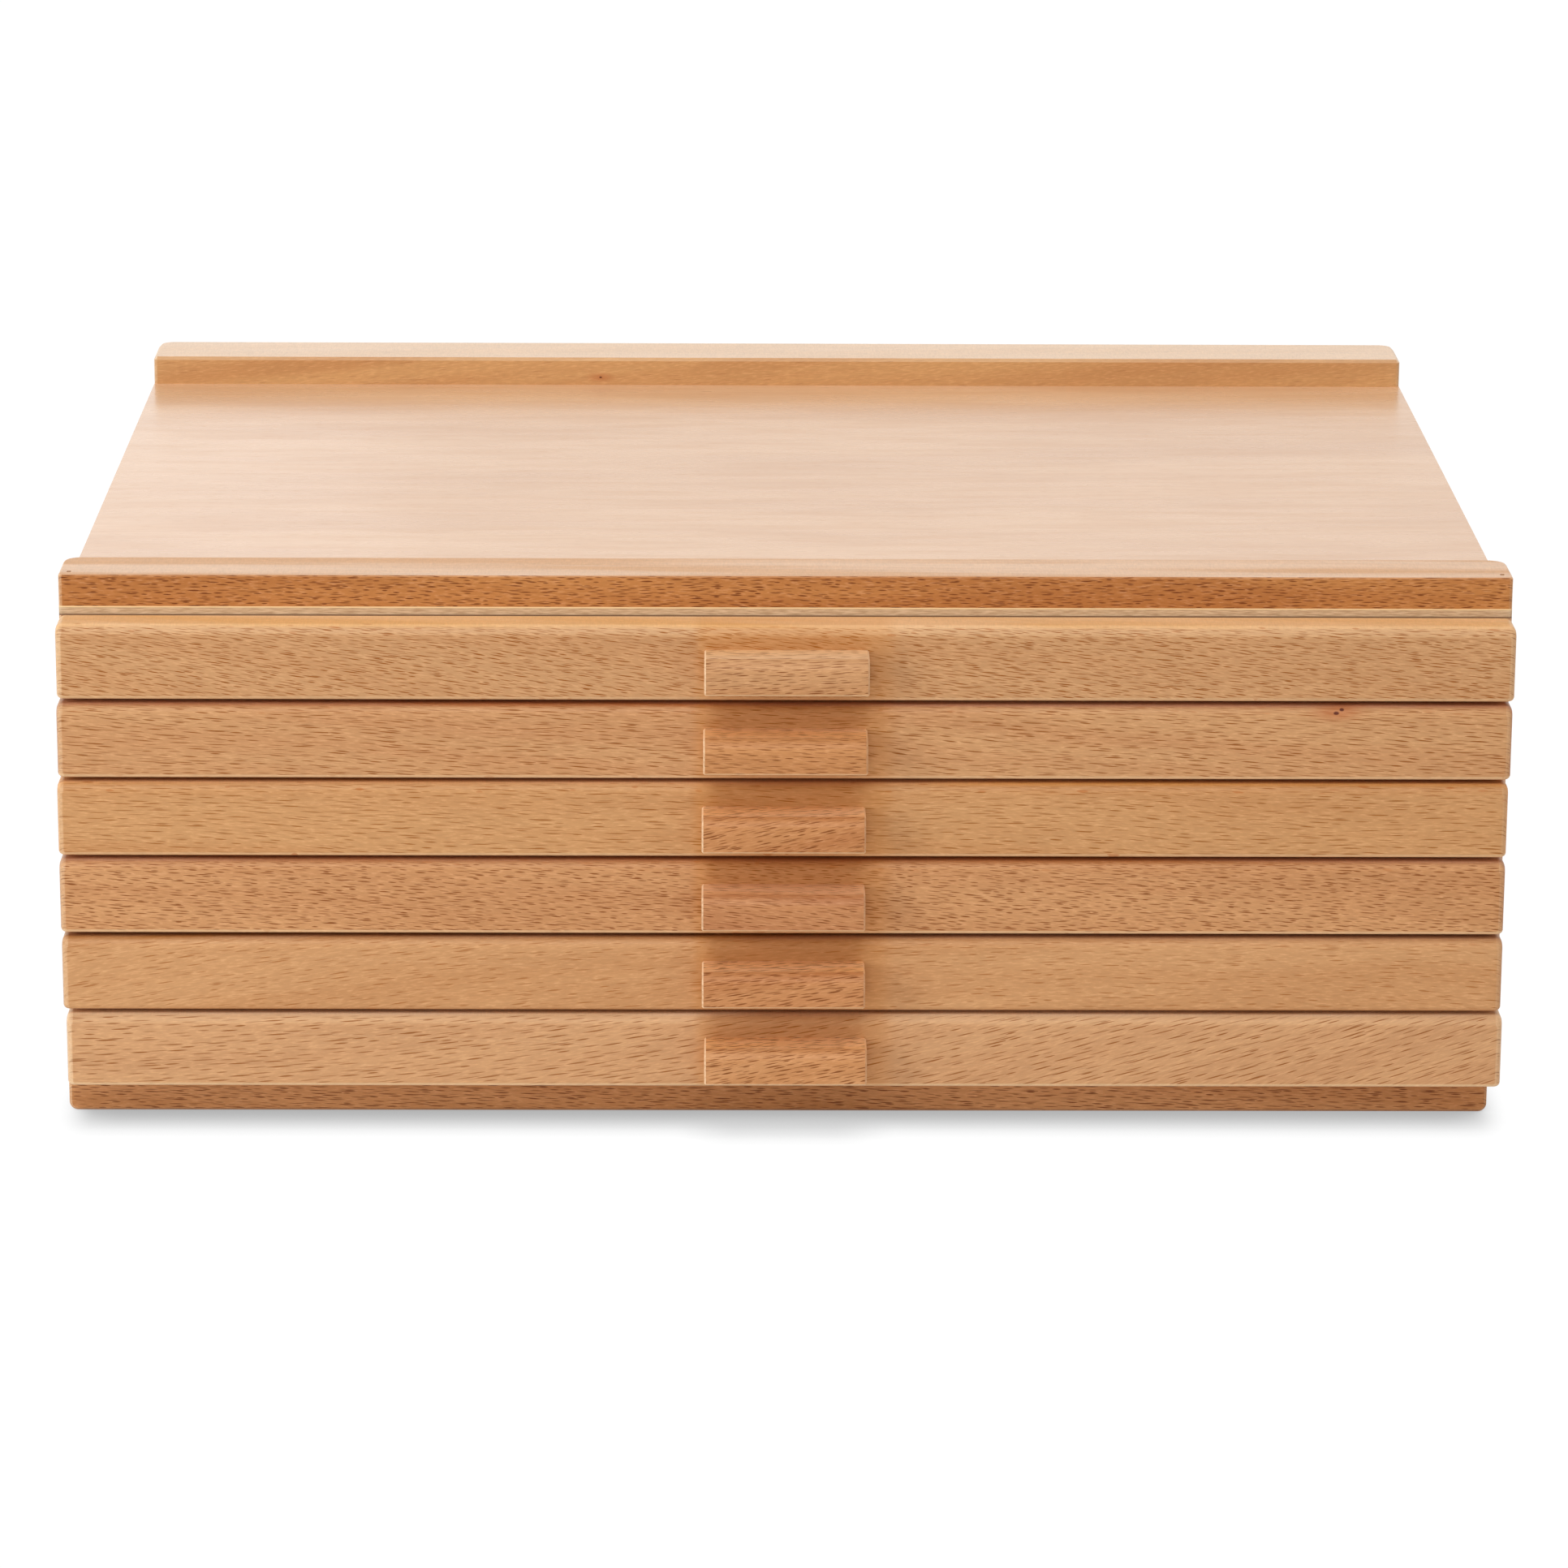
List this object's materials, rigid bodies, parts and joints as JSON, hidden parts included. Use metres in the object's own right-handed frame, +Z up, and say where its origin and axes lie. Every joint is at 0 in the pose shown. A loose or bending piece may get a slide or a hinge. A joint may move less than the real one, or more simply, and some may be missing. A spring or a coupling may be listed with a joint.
{
  "type": "pastel drawer box",
  "caption": "Low wooden box with a stack of shallow divided drawers that slide on their own floors in grooved sides, and a railed deck on top.",
  "frame": {"origin": "on the floor at the centre of the box, midway between the pulls and the rear", "axes": "+X to the right across the box, +Y from the drawer fronts to the rear, +Z up; the drawers open along -Y"},
  "size_m": [0.4211, 0.3588, 0.1627],
  "materials": {
    "beech": "solid beech, planed, sanded and clear varnished to a satin sheen",
    "plywood": "thin plywood with pale beech faces, clear varnished, layers bare at the edges",
    "steel": "plain bright steel brads, pins and countersunk wood screws"
  },
  "bodies": {
    "carcass": {"side_left": "beech", "side_right": "beech", "back_panel": "plywood", "bottom_board": "plywood", "top_board": "plywood", "top_front_rail": "beech", "top_rear_rail": "beech", "base_front_rail": "beech", "base_rear_rail": "beech", "rail_brads": "steel", "back_pins": "steel"},
    "drawer_1": {"drawer_1_front": "beech", "drawer_1_pull": "beech", "drawer_1_floor": "plywood", "drawer_1_wall_left": "beech", "drawer_1_wall_right": "beech", "drawer_1_back": "beech", "drawer_1_dividers": "beech", "drawer_1_pull_screws": "steel"},
    "drawer_2": {"drawer_2_front": "beech", "drawer_2_pull": "beech", "drawer_2_floor": "plywood", "drawer_2_wall_left": "beech", "drawer_2_wall_right": "beech", "drawer_2_back": "beech", "drawer_2_dividers": "beech", "drawer_2_pull_screws": "steel"},
    "drawer_3": {"drawer_3_front": "beech", "drawer_3_pull": "beech", "drawer_3_floor": "plywood", "drawer_3_wall_left": "beech", "drawer_3_wall_right": "beech", "drawer_3_back": "beech", "drawer_3_dividers": "beech", "drawer_3_pull_screws": "steel"},
    "drawer_4": {"drawer_4_front": "beech", "drawer_4_pull": "beech", "drawer_4_floor": "plywood", "drawer_4_wall_left": "beech", "drawer_4_wall_right": "beech", "drawer_4_back": "beech", "drawer_4_dividers": "beech", "drawer_4_pull_screws": "steel"},
    "drawer_5": {"drawer_5_front": "beech", "drawer_5_pull": "beech", "drawer_5_floor": "plywood", "drawer_5_wall_left": "beech", "drawer_5_wall_right": "beech", "drawer_5_back": "beech", "drawer_5_dividers": "beech", "drawer_5_pull_screws": "steel"},
    "drawer_6": {"drawer_6_front": "beech", "drawer_6_pull": "beech", "drawer_6_floor": "plywood", "drawer_6_wall_left": "beech", "drawer_6_wall_right": "beech", "drawer_6_back": "beech", "drawer_6_dividers": "beech", "drawer_6_pull_screws": "steel"}
  },
  "joints": [
    {"name": "drawer_1_slide", "type": "slide", "parent": "carcass", "child": "drawer_1", "axis": [0, -1, 0], "range_m": [0, 0.25]},
    {"name": "drawer_2_slide", "type": "slide", "parent": "carcass", "child": "drawer_2", "axis": [0, -1, 0], "range_m": [0, 0.25]},
    {"name": "drawer_3_slide", "type": "slide", "parent": "carcass", "child": "drawer_3", "axis": [0, -1, 0], "range_m": [0, 0.25]},
    {"name": "drawer_4_slide", "type": "slide", "parent": "carcass", "child": "drawer_4", "axis": [0, -1, 0], "range_m": [0, 0.25]},
    {"name": "drawer_5_slide", "type": "slide", "parent": "carcass", "child": "drawer_5", "axis": [0, -1, 0], "range_m": [0, 0.25]},
    {"name": "drawer_6_slide", "type": "slide", "parent": "carcass", "child": "drawer_6", "axis": [0, -1, 0], "range_m": [0, 0.25]}
  ]
}
